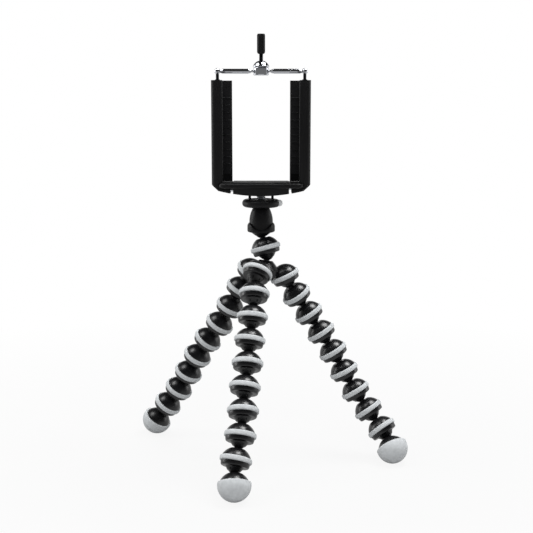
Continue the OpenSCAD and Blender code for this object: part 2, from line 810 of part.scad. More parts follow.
// Spreader bar: two tubes that slide on a rod, held by the clamp in the middle
module arm(side) {
    neck_x = pin_x - arm_ball_d / 2;
    shoulder_x = neck_x - arm_d / 2;
    bore_end_x = shoulder_x - rod_d / 2;
    color(chrome) at_side(side) translate([0, bar_back, bar_z]) difference() {
        union() {
            rotate([0, 90, 0]) rotate_extrude() polygon([
                [0, arm_tip_x], [arm_tip_d / 2, arm_tip_x], [arm_d / 2, arm_tip_x + arm_taper],
                [arm_d / 2, shoulder_x], [arm_tip_d / 2, neck_x], [arm_tip_d / 2, pin_x], [0, pin_x],
            ]);
            translate([pin_x, 0, 0]) sphere(d = arm_ball_d);
        }
        rotate([0, 90, 0]) cylinder(d = rod_d + 2 * run_gap, h = bore_end_x);
        translate([pin_x, 0, -bar_rise]) cylinder(d = pin_d + 2 * run_gap, h = bar_rise + pin_d / 2);
    }
}

module arm_pin(side) {
    color("#2a2a2c") at_side(side) translate([pin_x, bar_back, jaw_top - pin_depth + run_gap]) {
        cylinder(d = pin_d, h = pin_depth + bar_rise + pin_d / 4);
        translate([0, 0, pin_depth]) cylinder(d = pin_collar_d, h = pin_collar_t);
    }
}

module at_bar(z) {
    at_head() translate([0, bar_back, z]) children();
}

module stem_bore(z0, z1) {
    translate([0, 0, z0]) cylinder(d = stem_d + 2 * run_gap, h = z1 - z0);
}

module spreader_rod() {
    color(chrome) at_bar(bar_z) rotate([0, 90, 0]) cylinder(d = rod_d, h = rod_l, center = true);
}

module clamp_body() {
    color(chrome) at_bar(clamp_z) difference() {
        rotate_extrude() round_edge(clamp_d / 2, clamp_h, clamp_round);
        translate([0, 0, bar_z - clamp_z]) rotate([0, 90, 0])
            cylinder(d = rod_d + 2 * run_gap, h = clamp_d + 2 * past, center = true);
        stem_bore(bar_z - clamp_z, clamp_h + past);
    }
}

module clamp_washer() {
    color(chrome) at_bar(washer_z) difference() {
        rotate_extrude() round_edge(washer_d / 2, washer_t, washer_t / 3);
        stem_bore(-past, washer_t + past);
    }
}

module clamp_dome() {
    top_d = stem_d * 1.5;
    dome_c = sphere_level(dome_nut_d / 2, 0, top_d / 2, dome_nut_h);
    color(chrome) at_bar(dome_nut_z) difference() {
        rotate_extrude() intersection() {
            translate([0, dome_c]) circle(norm([dome_nut_d / 2, dome_c]));
            band(dome_nut_d, 0, dome_nut_h);
        }
        stem_bore(-past, dome_nut_h + past);
    }
}

module screw_stem() {
    color("#38383c") at_bar(stem_z) cylinder(d = stem_d, h = grip_z - stem_z + grip_l / 2);
}

module thumb_grip() {
    foot_z = grip_l / 12;
    foot_d = (grip_d + stem_d) / 2;
    color(black) at_bar(grip_z) difference() {
        rotate_extrude() polygon([
            [0, 0], [foot_d / 2, 0], [grip_d / 2, foot_z], [grip_d / 2, grip_l - grip_d + grip_top_d],
            [grip_top_d / 2, grip_l], [0, grip_l],
        ]);
        stem_bore(-past, grip_l / 2 + run_gap);
        for (k = [0:FLUTES - 1]) rotate([0, 0, k * 360 / FLUTES])
            translate([(grip_d + flute_d) / 2 - flute_depth, 0, -past])
                cylinder(d = flute_d, h = grip_l + 2 * past);
    }
}

for (leg = [0:2]) {
    for (i = [0:LINKS - 1]) leg_link(leg, i);
    leg_foot(leg);
    leg_foot_cap(leg);
}
for (side = ["left", "right"]) {
    jaw(side);
    side_pad(side);
    back_pad(side);
    guide_rod(side);
    arm(side);
    arm_pin(side);
}
hub_body();
hub_rings();
neck_link();
head_cup();
head_neck();
platform();
platform_pad();
camera_screw();
lock_button();
holder_base();
thread_insert();
spreader_rod();
clamp_body();
clamp_washer();
clamp_dome();
screw_stem();
thumb_grip();
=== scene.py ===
"""Looks of a flexible leg tripod: ringed links, hub, screw head and phone holder."""

import json
import math

import bmesh
import bpy
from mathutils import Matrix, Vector


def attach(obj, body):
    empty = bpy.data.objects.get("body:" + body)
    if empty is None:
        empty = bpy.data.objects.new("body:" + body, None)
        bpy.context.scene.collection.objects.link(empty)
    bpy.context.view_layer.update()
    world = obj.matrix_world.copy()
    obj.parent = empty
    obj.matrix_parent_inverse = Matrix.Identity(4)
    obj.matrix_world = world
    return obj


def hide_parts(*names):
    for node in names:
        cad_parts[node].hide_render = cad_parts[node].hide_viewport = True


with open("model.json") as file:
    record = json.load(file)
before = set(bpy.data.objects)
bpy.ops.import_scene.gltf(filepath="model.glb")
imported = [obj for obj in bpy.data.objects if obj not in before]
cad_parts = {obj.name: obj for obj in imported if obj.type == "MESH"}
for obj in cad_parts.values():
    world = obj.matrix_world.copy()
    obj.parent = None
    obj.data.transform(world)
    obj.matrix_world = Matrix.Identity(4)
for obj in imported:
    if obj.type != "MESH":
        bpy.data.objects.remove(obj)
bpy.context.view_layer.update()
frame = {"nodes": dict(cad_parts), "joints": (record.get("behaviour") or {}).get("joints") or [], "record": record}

MM = 0.001
MERGE = 0.001 * MM
LEGS = ("front", "right", "left")
LINKS = 8
JOINTS = {joint["name"]: joint for joint in frame["joints"]}
BODIES = frame["record"]["behaviour"]["bodies"]
BODY_OF = {node: body for body, nodes in BODIES.items() for node in nodes}
SLOT_OF = {part["node"]: part["material_slot"] for part in frame["record"]["subparts"]}

# Sizes of a link in millimetres, measured from its stud ball's centre down the leg
BALL_D = 9.0
NECK_D = 4.2
BALL_GAP = 0.12
STUD_REACH = 11.5
LINK_PITCH = 16.0
DOME_TOP_D = 9.2
DOME_H = 7.0
DOME_EDGE_D = 18.8
GROOVE_D = 17.2
RING_D = 21.0
RING_W = 3.4
RUBBER_GAP = 0.08
SKIRT_D = 19.0
SKIRT_FOOT_D = 18.0
SKIRT_H = 4.6
COLLAR_D = 12.2
LIP_DROP = 2.6
LIP_WALL = 0.32
SLITS = 3
SLIT_W = 0.9
SLIT_LEN = 1.3

# Sizes and middles of the feet in millimetres
FOOT_D = 21.6
FOOT_CAP_WALL = 2.0
FOOT_CAP_RISE = 1.6
FOOT_AT = {
    "front": (-22.336, -66.301, 10.8),
    "right": (84.772, 2.131, 10.8),
    "left": (-84.772, 66.301, 10.8),
}

# Camera screw in millimetres, its levels measured from the head's ball centre
SCREW_D = 6.35
SCREW_TOP = 29.6
SCREW_HEAD_D = 8.5
SCREW_HEAD_T = 1.6
SCREW_FOOT = 18.8
SCREW_PITCH = 1.27
SCREW_RUN_OUT = 0.8

# Stem of the thumb screw, its levels measured from the head's ball centre
STEM_D = 2.9
STEM_TOP = 127.6
STEM_FOOT = 110.05
STEM_PITCH = 0.5
STEM_RUN_OUT = 0.4

# A ridge's depth and half width as shares of its thread's pitch
RIDGE_DEPTH = 0.5
RIDGE_HALF = 0.46

# Points along the arc of a rounded corner of an outline
EASE_STEPS = 4

# Steps round a turned shell, a rubber piece and a screw
SHELL_STEPS = 72
RUBBER_STEPS = 96
SCREW_STEPS = 48

# Angles in degrees past which a surface creases
CREASE_TURNED = 50
CREASE_MOULDED = 35
CREASE_THREAD = 40

# Rounding of the edges of moulded nodes, in millimetres
SOFT_EDGES = {
    "jaw_left": 0.5,
    "jaw_right": 0.5,
    "holder_base": 0.45,
    "head_cup": 0.6,
    "lock_button": 0.3,
    "thumb_grip": 0.2,
}

# The photograph's view: square frame, long lens, a little above the hub
AIM = Vector((-2.2, 21.3, 134.9)) * MM
VIEW_DISTANCE = 691.0 * MM
VIEW_ELEVATION = math.radians(9.3)
FRAME_PIXELS = 533.0
FOCAL_PIXELS = 999.0
SENSOR_MM = 36.0

# Studio lamps: place and size in metres, power in watts, and whether gloss and chrome mirror them
SOFTBOXES = (
    ("softbox_right", (0.24, 0.10, 0.88), (0.35, 0.35), 6.2, True),
    ("softbox_left", (-0.42, -0.02, 0.80), (0.35, 0.35), 2.6, True),
    ("softbox_front", (0.10, -1.00, 0.75), (0.8, 0.8), 5.0, False),
    ("strip_left", (-1.0, 0.25, 0.32), (0.3, 0.7), 3.0, True),
    ("strip_right", (1.0, 0.25, 0.32), (0.3, 0.7), 1.5, True),
)
FLOOR_HALF = 6.0


# Small helpers

def add(tree, kind, inputs=None, **settings):
    """Adds a node with its settings, and sets or links its inputs."""
    node = tree.nodes.new(kind)
    for name, value in settings.items():
        setattr(node, name, value)
    for name, value in (inputs or {}).items():
        if isinstance(value, bpy.types.NodeSocket):
            tree.links.new(value, node.inputs[name])
        else:
            node.inputs[name].default_value = value
    return node


def colour(hex_code):
    """An sRGB hex value as linear red, green, blue and alpha."""
    channels = [int(hex_code[i:i + 2], 16) / 255 for i in (1, 3, 5)]
    linear = [c / 12.92 if c <= 0.04045 else ((c + 0.055) / 1.055) ** 2.4 for c in channels]
    return (*linear, 1.0)


def per_mm(size):
    """The texture scale at which one feature is so many millimetres wide."""
    return 1.0 / (size * MM)


def place(name):
    return Vector(JOINTS[name]["pos_m"])


def new_object(name, data):
    piece = bpy.data.objects.new(name, data)
    bpy.context.scene.collection.objects.link(piece)
    return piece


def plain_mesh(piece):
    """Swaps a piece for the mesh that its modifiers give."""
    graph = bpy.context.evaluated_depsgraph_get()
    mesh = bpy.data.meshes.new_from_object(piece.evaluated_get(graph))
    mesh.name = piece.name
    piece.modifiers.clear()
    piece.data = mesh
    return piece


def smoothed(piece, angle):
    """Shades a piece smooth, with a crease wherever faces turn by more than the angle."""
    piece.data.shade_smooth()
    piece.data.set_sharp_from_angle(angle=math.radians(angle))
    return piece


def put_on(piece, body, slot, *nodes):
    """Lets a piece ride on a body, in place of CAD nodes where it has any."""
    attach(piece, body)
    if nodes:
        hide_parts(*nodes)


# Materials

def surface(name):
    finish = bpy.data.materials.new(name)
    finish.use_nodes = True
    finish.node_tree.nodes.clear()
    return finish, finish.node_tree


def shown(finish, tree, shader):
    add(tree, "ShaderNodeOutputMaterial", {"Surface": shader.outputs[0]})
    return finish


def polished_black_abs():
    """Moulded ABS from a polished tool: deep black, soft gloss, slightly uneven skin."""
    finish, tree = surface("polished_black_abs")
    at = add(tree, "ShaderNodeTexCoord").outputs["Object"]
    flow = add(tree, "ShaderNodeTexNoise", {"Vector": at, "Scale": per_mm(4.0), "Detail": 2.0})
    handling = add(tree, "ShaderNodeTexNoise", {"Vector": at, "Scale": per_mm(9.0), "Detail": 2.0})
    gloss = add(tree, "ShaderNodeMapRange", {
        "Value": handling.outputs["Fac"], "From Min": 0.3, "From Max": 0.7, "To Min": 0.27, "To Max": 0.34})
    skin = add(tree, "ShaderNodeBump", {
        "Height": flow.outputs["Fac"], "Strength": 0.02, "Distance": 0.4 * MM})
    tone = add(tree, "ShaderNodeValToRGB", {"Fac": flow.outputs["Fac"]})
    tone.color_ramp.elements[0].color = colour("#0b0b0d")
    tone.color_ramp.elements[1].color = colour("#121214")
    shader = add(tree, "ShaderNodeBsdfPrincipled", {
        "Base Color": tone.outputs["Color"], "Roughness": gloss.outputs["Result"],
        "Specular IOR Level": 0.5, "Normal": skin.outputs["Normal"]})
    return shown(finish, tree, shader)


def textured_black_abs():
    """Moulded ABS from a spark-eroded tool: satin black with a fine grain.
    The grain is drawn at 0.5 mm, coarser than life, so that it shows."""
    finish, tree = surface("textured_black_abs")
    at = add(tree, "ShaderNodeTexCoord").outputs["Object"]
    grain = add(tree, "ShaderNodeTexNoise", {"Vector": at, "Scale": per_mm(0.5), "Detail": 3.0})
    sheen = add(tree, "ShaderNodeTexNoise", {"Vector": at, "Scale": per_mm(14.0), "Detail": 3.0})
    gloss = add(tree, "ShaderNodeMapRange", {
        "Value": sheen.outputs["Fac"], "From Min": 0.3, "From Max": 0.7, "To Min": 0.42, "To Max": 0.52})
    skin = add(tree, "ShaderNodeBump", {
        "Height": grain.outputs["Fac"], "Strength": 0.12, "Distance": 0.06 * MM})
    tone = add(tree, "ShaderNodeValToRGB", {"Fac": grain.outputs["Fac"]})
    tone.color_ramp.elements[0].color = colour("#0a0a0b")
    tone.color_ramp.elements[1].color = colour("#151516")
    shader = add(tree, "ShaderNodeBsdfPrincipled", {
        "Base Color": tone.outputs["Color"], "Roughness": gloss.outputs["Result"],
        "Specular IOR Level": 0.2, "Normal": skin.outputs["Normal"]})
    return shown(finish, tree, shader)


def grey_moulded_rubber():
    """Soft grey thermoplastic rubber: matte, faintly mottled, with a powdery sheen."""
    finish, tree = surface("grey_moulded_rubber")
    at = add(tree, "ShaderNodeTexCoord").outputs["Object"]
    mottle = add(tree, "ShaderNodeTexNoise", {"Vector": at, "Scale": per_mm(2.5), "Detail": 4.0})
    tone = add(tree, "ShaderNodeValToRGB", {"Fac": mottle.outputs["Fac"]})
    tone.color_ramp.elements[0].position = 0.3
    tone.color_ramp.elements[0].color = colour("#b5b8ba")
    tone.color_ramp.elements[1].position = 0.7
    tone.color_ramp.elements[1].color = colour("#c1c4c6")
    grain = add(tree, "ShaderNodeTexNoise", {"Vector": at, "Scale": per_mm(0.8), "Detail": 2.0})
    skin = add(tree, "ShaderNodeBump", {
        "Height": grain.outputs["Fac"], "Strength": 0.06, "Distance": 0.05 * MM})
    shader = add(tree, "ShaderNodeBsdfPrincipled", {
        "Base Color": tone.outputs["Color"], "Roughness": 0.6, "Specular IOR Level": 0.25,
        "Sheen Weight": 0.05, "Sheen Roughness": 0.5, "Normal": skin.outputs["Normal"]})
    return shown(finish, tree, shader)


def black_moulded_rubber():
    """Black rubber with a matte skin: dark grey where light grazes it."""
    finish, tree = surface("black_moulded_rubber")
    at = add(tree, "ShaderNodeTexCoord").outputs["Object"]
    grain = add(tree, "ShaderNodeTexNoise", {"Vector": at, "Scale": per_mm(0.4), "Detail": 3.0})
    tone = add(tree, "ShaderNodeValToRGB", {"Fac": grain.outputs["Fac"]})
    tone.color_ramp.elements[0].color = colour("#121213")
    tone.color_ramp.elements[1].color = colour("#1b1b1d")
    skin = add(tree, "ShaderNodeBump", {
        "Height": grain.outputs["Fac"], "Strength": 0.15, "Distance": 0.08 * MM})
    shader = add(tree, "ShaderNodeBsdfPrincipled", {
        "Base Color": tone.outputs["Color"], "Roughness": 0.68, "Specular IOR Level": 0.2,
        "Sheen Weight": 0.03, "Sheen Roughness": 0.5, "Normal": skin.outputs["Normal"]})
    return shown(finish, tree, shader)


def grey_satin_abs():
    """Light grey moulded plastic of the lock button: satin, with a fine grain."""
    finish, tree = surface("grey_satin_abs")
    at = add(tree, "ShaderNodeTexCoord").outputs["Object"]
    grain = add(tree, "ShaderNodeTexNoise", {"Vector": at, "Scale": per_mm(0.4), "Detail": 3.0})
    tone = add(tree, "ShaderNodeValToRGB", {"Fac": grain.outputs["Fac"]})
    tone.color_ramp.elements[0].color = colour("#c4c6c8")
    tone.color_ramp.elements[1].color = colour("#d2d4d5")
    skin = add(tree, "ShaderNodeBump", {
        "Height": grain.outputs["Fac"], "Strength": 0.1, "Distance": 0.05 * MM})
    shader = add(tree, "ShaderNodeBsdfPrincipled", {
        "Base Color": tone.outputs["Color"], "Roughness": 0.42, "Specular IOR Level": 0.4,
        "Normal": skin.outputs["Normal"]})
    return shown(finish, tree, shader)


def polished_chrome():
    """Chrome plate over polished steel: mirror bright, with a trace of polishing haze."""
    finish, tree = surface("polished_chrome")
    at = add(tree, "ShaderNodeTexCoord").outputs["Object"]
    haze = add(tree, "ShaderNodeTexNoise", {"Vector": at, "Scale": per_mm(1.5), "Detail": 5.0})
    gloss = add(tree, "ShaderNodeMapRange", {
        "Value": haze.outputs["Fac"], "From Min": 0.3, "From Max": 0.7, "To Min": 0.05, "To Max": 0.13})
    shader = add(tree, "ShaderNodeBsdfPrincipled", {
        "Base Color": colour("#d3d5da"), "Metallic": 1.0, "Roughness": gloss.outputs["Result"]})
    return shown(finish, tree, shader)


def turned_metal(name, hex_code, low, high):
    """Metal turned on a lathe: fine rings round the axis that break up its gloss."""
    finish, tree = surface(name)
    at = add(tree, "ShaderNodeTexCoord").outputs["Object"]
    stretched = add(tree, "ShaderNodeMapping", {"Vector": at, "Scale": (0.05, 0.05, 1.0)})
    rings = add(tree, "ShaderNodeTexNoise", {
        "Vector": stretched.outputs["Vector"], "Scale": per_mm(0.15), "Detail": 2.0})
    gloss = add(tree, "ShaderNodeMapRange", {
        "Value": rings.outputs["Fac"], "From Min": 0.3, "From Max": 0.7, "To Min": low, "To Max": high})
    shader = add(tree, "ShaderNodeBsdfPrincipled", {
        "Base Color": colour(hex_code), "Metallic": 1.0, "Roughness": gloss.outputs["Result"]})
    return shown(finish, tree, shader)


FINISHES = {
    "black_gloss_plastic": polished_black_abs(),
    "black_satin_plastic": textured_black_abs(),
    "grey_rubber": grey_moulded_rubber(),
    "black_rubber": black_moulded_rubber(),
    "grey_plastic": grey_satin_abs(),
    "chrome": polished_chrome(),
    "steel": turned_metal("turned_steel", "#b9bbbe", 0.2, 0.34),
    "dark_steel": turned_metal("black_oxide_steel", "#2c2d30", 0.28, 0.42),
    "brass": turned_metal("turned_brass", "#b8995a", 0.2, 0.34),
}


# Outlines of turned pieces, as radius and distance down the axis in millimetres

def arc(centre, radius, start, end, steps=12):
    """Points along an arc whose ends are angles in degrees from the radius axis."""
    turns = [math.radians(start + (end - start) * i / steps) for i in range(steps + 1)]
    return [(abs(radius * math.cos(t)), centre + radius * math.sin(t)) for t in turns]


def plain(points):
    """Corners without rounding."""
    return [(r, s, 0) for r, s in points]


def eased(corners):
    """An outline whose corners, each a radius, a level and a rounding, are arcs."""
    points = [corners[0][:2]]
    for before, corner, after in zip(corners, corners[1:], corners[2:]):
        at = Vector(corner[:2])
        back = Vector(before[:2]) - at
        on = Vector(after[:2]) - at
        reach = min(corner[2], back.length * 0.5, on.length * 0.5)
        if reach <= 0:
            points.append(tuple(at))
            continue
        first = at + back.normalized() * reach
        last = at + on.normalized() * reach
        for i in range(EASE_STEPS + 1):
            t = i / EASE_STEPS
            points.append(tuple(first * (1 - t) ** 2 + at * 2 * t * (1 - t) + last * t ** 2))
    points.append(corners[-1][:2])
    return points


def stud_and_dome(dome_foot):
    """Corners of a stud ball, its neck and the dome below it, down to a level."""
    ball_r = BALL_D / 2
    ring_top = STUD_REACH - RING_W / 2
    dome_top = STUD_REACH - DOME_H
    top_r, edge_r = DOME_TOP_D / 2, DOME_EDGE_D / 2
    dome_s = (edge_r ** 2 + ring_top ** 2 - top_r ** 2 - dome_top ** 2) / (2 * (ring_top - dome_top))
    dome_r = math.hypot(top_r, dome_top - dome_s)
    ball_end = math.degrees(math.acos(NECK_D / 2 / ball_r))
    dome_start = math.degrees(math.asin((dome_top - dome_s) / dome_r))
    dome_end = math.degrees(math.asin((dome_foot - dome_s) / dome_r))
    ball = arc(0, ball_r, -90, ball_end, 24)
    dome = arc(dome_s, dome_r, dome_start, dome_end, 20)
    neck = [(NECK_D / 2, dome_top, 0.3), (*dome[0], 0.5)]
    return plain(ball) + neck + plain(dome[1:-1]) + [(*dome[-1], 0.3)]


def link_outline():
    """Half section of a link's shell, from its stud ball round to its socket."""
    cavity_r = BALL_D / 2 + BALL_GAP
    lip_s = LINK_PITCH + LIP_DROP
    lip_in = math.sqrt(cavity_r ** 2 - LIP_DROP ** 2)
    ring_top = STUD_REACH - RING_W / 2
    ring_foot = STUD_REACH + RING_W / 2
    skirt_s = STUD_REACH + SKIRT_H
    cavity = arc(LINK_PITCH, cavity_r, math.degrees(math.asin(LIP_DROP / cavity_r)), -90, 20)
    waist = [
        (GROOVE_D / 2, ring_top, 0), (GROOVE_D / 2, ring_foot, 0), (SKIRT_D / 2, ring_foot, 0.3),
        (SKIRT_FOOT_D / 2, skirt_s, 1.0), (COLLAR_D / 2, skirt_s, 0.4), (lip_in + LIP_WALL, lip_s, 0.12),
    ]
    return eased(stud_and_dome(ring_top) + waist + plain(cavity))


def ring_outline():
    """Half section of a grip ring: flat inside, crowned outside."""
    inner = GROOVE_D / 2 + RUBBER_GAP
    top = STUD_REACH - RING_W / 2 + RUBBER_GAP
    foot = STUD_REACH + RING_W / 2 - RUBBER_GAP
    crown = RING_D / 2
    return eased([
        (inner, STUD_REACH, 0), (inner, top, 0.15), (crown - 0.15, top, 1.3),
        (crown, STUD_REACH, 1.2), (crown - 0.15, foot, 1.3), (inner, foot, 0.15), (inner, STUD_REACH, 0),
    ])


def foot_outline():
    """Half section of a foot: stud, dome, and the ball that fills the rubber cap."""
    split = STUD_REACH - FOOT_CAP_RISE
    core_r = FOOT_D / 2 - FOOT_CAP_WALL - RUBBER_GAP
    rim = -math.degrees(math.asin(FOOT_CAP_RISE / core_r))
    return eased(stud_and_dome(split) + plain(arc(STUD_REACH, core_r, rim, 90, 20)))


def cap_outline():
    """Half section of a foot's rubber cap, from its inner pole over its rim to its outer pole."""
    rise = FOOT_CAP_RISE - RUBBER_GAP
    outer_r = FOOT_D / 2
    inner_r = outer_r - FOOT_CAP_WALL
    inside = arc(STUD_REACH, inner_r, 90, -math.degrees(math.asin(rise / inner_r)), 20)
    outside = arc(STUD_REACH, outer_r, -math.degrees(math.asin(rise / outer_r)), 90, 28)
    rim = [(*inside[-1], 0.25), (*outside[0], 0.7)]
    return eased(plain(inside[:-1]) + rim + plain(outside[1:]))


def camera_screw_outline(depth):
    """Half section of the camera screw's core: chamfered tip, shank and flat head."""
    core_r = SCREW_D / 2 - depth
    head_s = SCREW_TOP - SCREW_FOOT - SCREW_HEAD_T
    foot_s = SCREW_TOP - SCREW_FOOT
    head_r = SCREW_HEAD_D / 2
    return eased([
        (0, 0, 0), (core_r - 0.6, 0, 0.1), (core_r, 0.6, 0.2), (core_r, head_s, 0.1),
        (head_r, head_s, 0.2), (head_r, foot_s, 0.2), (0, foot_s, 0),
    ])


def stem_outline(depth):
    """Half section of the thumb screw's stem: a core with chamfered ends."""
    core_r = STEM_D / 2 - depth
    foot_s = STEM_TOP - STEM_FOOT
    return eased([
        (0, 0, 0), (core_r - 0.3, 0, 0.1), (core_r, 0.3, 0.1),
        (core_r, foot_s - 0.3, 0.1), (core_r - 0.3, foot_s, 0.1), (0, foot_s, 0),
    ])


def outline_curve(name, points):
    curve = bpy.data.curves.new(name, "CURVE")
    curve.dimensions = "3D"
    spline = curve.splines.new("POLY")
    spline.points.add(len(points) - 1)
    for point, (r, s) in zip(spline.points, points):
        point.co = (r * MM, s * MM, 0, 1)
    return new_object(name, curve)


# Node trees for what is turned, wound or repeated

def new_tree(name, inputs):
    tree = bpy.data.node_groups.new(name, "GeometryNodeTree")
    for label, kind in inputs:
        tree.interface.new_socket(label, in_out="INPUT", socket_type=kind)
    tree.interface.new_socket("Geometry", in_out="OUTPUT", socket_type="NodeSocketGeometry")
    return tree


def end_tree(tree, geometry, finish):
    real = add(tree, "GeometryNodeRealizeInstances", {"Geometry": geometry})
    done = add(tree, "GeometryNodeSetMaterial", {"Geometry": real.outputs["Geometry"], "Material": finish})
    add(tree, "NodeGroupOutput", {"Geometry": done.outputs["Geometry"]})
    return tree


def grow(name, tree, **values):
    """Makes a plain mesh from a tree, with its inputs given by label."""
    piece = new_object(name, bpy.data.meshes.new(name))
    modifier = piece.modifiers.new(tree.name, "NODES")
    modifier.node_group = tree
    for item in tree.interface.items_tree:
        if item.in_out == "INPUT":
            modifier[item.identifier] = values[item.name]
    return plain_mesh(piece)


def turned_tree():
    """An outline swept round the vertical axis, with a star of slits cut through its lower end."""
    tree = new_tree("turned_piece", [
        ("Outline", "NodeSocketObject"), ("Steps", "NodeSocketInt"), ("Slits", "NodeSocketInt"),
        ("Blade", "NodeSocketVector"), ("Level", "NodeSocketVector"), ("Finish", "NodeSocketMaterial")])
    given = add(tree, "NodeGroupInput").outputs
    outline = add(tree, "GeometryNodeObjectInfo", {"Object": given["Outline"]})
    circle = add(tree, "GeometryNodeCurvePrimitiveCircle", {"Resolution": given["Steps"], "Radius": MM})
    half = add(tree, "GeometryNodeTransform", {
        "Geometry": outline.outputs["Geometry"], "Translation": (-MM, 0, 0)})
    swept = add(tree, "GeometryNodeCurveToMesh", {
        "Curve": circle.outputs["Curve"], "Profile Curve": half.outputs["Geometry"]})
    closed = add(tree, "GeometryNodeMergeByDistance", {
        "Geometry": swept.outputs["Mesh"], "Distance": MERGE})
    spots = add(tree, "GeometryNodeMeshLine", {
        "Count": given["Slits"], "Start Location": given["Level"], "Offset": (0, 0, 0)})
    index = add(tree, "GeometryNodeInputIndex").outputs["Index"]
    step = add(tree, "ShaderNodeMath", {0: math.pi, 1: given["Slits"]}, operation="DIVIDE")
    turn = add(tree, "ShaderNodeMath", {0: index, 1: step.outputs["Value"]}, operation="MULTIPLY")
    spin = add(tree, "ShaderNodeCombineXYZ", {"Z": turn.outputs["Value"]})
    blade = add(tree, "GeometryNodeMeshCube", {"Size": given["Blade"]})
    star = add(tree, "GeometryNodeInstanceOnPoints", {
        "Points": spots.outputs["Mesh"], "Instance": blade.outputs["Mesh"],
        "Rotation": spin.outputs["Vector"]})
    blades = add(tree, "GeometryNodeRealizeInstances", {"Geometry": star.outputs["Instances"]})
    cut = add(tree, "GeometryNodeMeshBoolean", {
        "Mesh 1": closed.outputs["Geometry"], "Mesh 2": blades.outputs["Geometry"],
        "Self Intersection": True}, operation="DIFFERENCE", solver="EXACT")
    slit = add(tree, "FunctionNodeCompare", {
        "A": given["Slits"], "B": 0}, data_type="INT", operation="GREATER_THAN")
    either = add(tree, "GeometryNodeSwitch", {
        "Switch": slit.outputs["Result"], "False": closed.outputs["Geometry"],
        "True": cut.outputs["Mesh"]}, input_type="GEOMETRY")
    return end_tree(tree, either.outputs["Output"], given["Finish"])


def placed_tree():
    """A turned piece set on the line from one point towards another."""
    tree = new_tree("placed_piece", [
        ("Piece", "NodeSocketObject"), ("Start", "NodeSocketVector"),
        ("Towards", "NodeSocketVector"), ("Finish", "NodeSocketMaterial")])
    given = add(tree, "NodeGroupInput").outputs
    piece = add(tree, "GeometryNodeObjectInfo", {"Object": given["Piece"]})
    upward = add(tree, "ShaderNodeVectorMath", {
        0: given["Start"], 1: given["Towards"]}, operation="SUBTRACT")
    lean = add(tree, "FunctionNodeAlignRotationToVector", {"Vector": upward.outputs["Vector"]}, axis="Z")
    placed = add(tree, "GeometryNodeTransform", {
        "Geometry": piece.outputs["Geometry"], "Translation": given["Start"],
        "Rotation": lean.outputs["Rotation"]})
    return end_tree(tree, placed.outputs["Geometry"], given["Finish"])


def thread_tree():
    """A pointed ridge wound up a screw from its foot."""
    tree = new_tree("wound_thread", [
        ("Crest", "NodeSocketFloat"), ("Depth", "NodeSocketFloat"), ("Pitch", "NodeSocketFloat"),
        ("Length", "NodeSocketFloat"), ("Foot", "NodeSocketVector"), ("Finish", "NodeSocketMaterial")])
    given = add(tree, "NodeGroupInput").outputs
    turns = add(tree, "ShaderNodeMath", {0: given["Length"], 1: given["Pitch"]}, operation="DIVIDE")
    root = add(tree, "ShaderNodeMath", {0: given["Crest"], 1: given["Depth"]}, operation="SUBTRACT")
    path = add(tree, "GeometryNodeCurveSpiral", {
        "Resolution": 32, "Rotations": turns.outputs["Value"], "Start Radius": root.outputs["Value"],
        "End Radius": root.outputs["Value"], "Height": given["Length"]})
    upright = add(tree, "GeometryNodeSetCurveNormal", {"Curve": path.outputs["Curve"]}, mode="Z_UP")
    spread = add(tree, "ShaderNodeMath", {0: given["Pitch"], 1: RIDGE_HALF}, operation="MULTIPLY")
    size = add(tree, "ShaderNodeCombineXYZ", {"X": given["Depth"], "Y": spread.outputs["Value"], "Z": 1.0})
    point = add(tree, "GeometryNodeCurvePrimitiveCircle", {"Resolution": 4, "Radius": 1.0})
    ridge = add(tree, "GeometryNodeTransform", {
        "Geometry": point.outputs["Curve"], "Scale": size.outputs["Vector"]})
    swept = add(tree, "GeometryNodeCurveToMesh", {
        "Curve": upright.outputs["Curve"], "Profile Curve": ridge.outputs["Geometry"], "Fill Caps": True})
    placed = add(tree, "GeometryNodeTransform", {
        "Geometry": swept.outputs["Mesh"], "Translation": given["Foot"]})
    return end_tree(tree, placed.outputs["Geometry"], given["Finish"])


TURNED = turned_tree()
PLACED = placed_tree()
THREAD = thread_tree()


def turned(name, points, steps, finish, slits=0):
    """A turned piece at the origin, its axis pointing down."""
    outline = outline_curve(f"{name}_outline", points)
    blade = Vector((COLLAR_D, SLIT_W, 2 * SLIT_LEN)) * MM
    level = Vector((0, 0, -(LINK_PITCH + LIP_DROP))) * MM
    piece = grow(name, TURNED, Outline=outline, Steps=steps, Slits=slits, Blade=blade, Level=level,
                 Finish=finish)
    bpy.data.objects.remove(outline)
    return smoothed(piece, CREASE_TURNED)


# Legs and neck: a black shell and a grey ring for every link, a capped foot for every leg

def make_links():
    black, grey = FINISHES["black_gloss_plastic"], FINISHES["grey_rubber"]
    shell = turned("link_shell", link_outline(), SHELL_STEPS, black, SLITS)
    ring = turned("grip_ring", ring_outline(), RUBBER_STEPS, grey)
    spans = {"neck_link": (place("head_tilt"), place("neck_tilt"))}
    for leg in LEGS:
        for i in range(1, LINKS + 1):
            spans[f"{leg}_link_{i}"] = (place(f"{leg}_joint_{i}"), place(f"{leg}_joint_{i + 1}"))
    for link, (start, towards) in spans.items():
        body = BODY_OF[link]
        link_shell = grow(f"{link}_shell", PLACED, Piece=shell, Start=start, Towards=towards, Finish=black)
        link_ring = grow(f"{link}_ring", PLACED, Piece=ring, Start=start, Towards=towards, Finish=grey)
        put_on(link_shell, body, "black_gloss_plastic", link)
        put_on(link_ring, body, "grey_rubber")
    bpy.data.objects.remove(shell)
    bpy.data.objects.remove(ring)


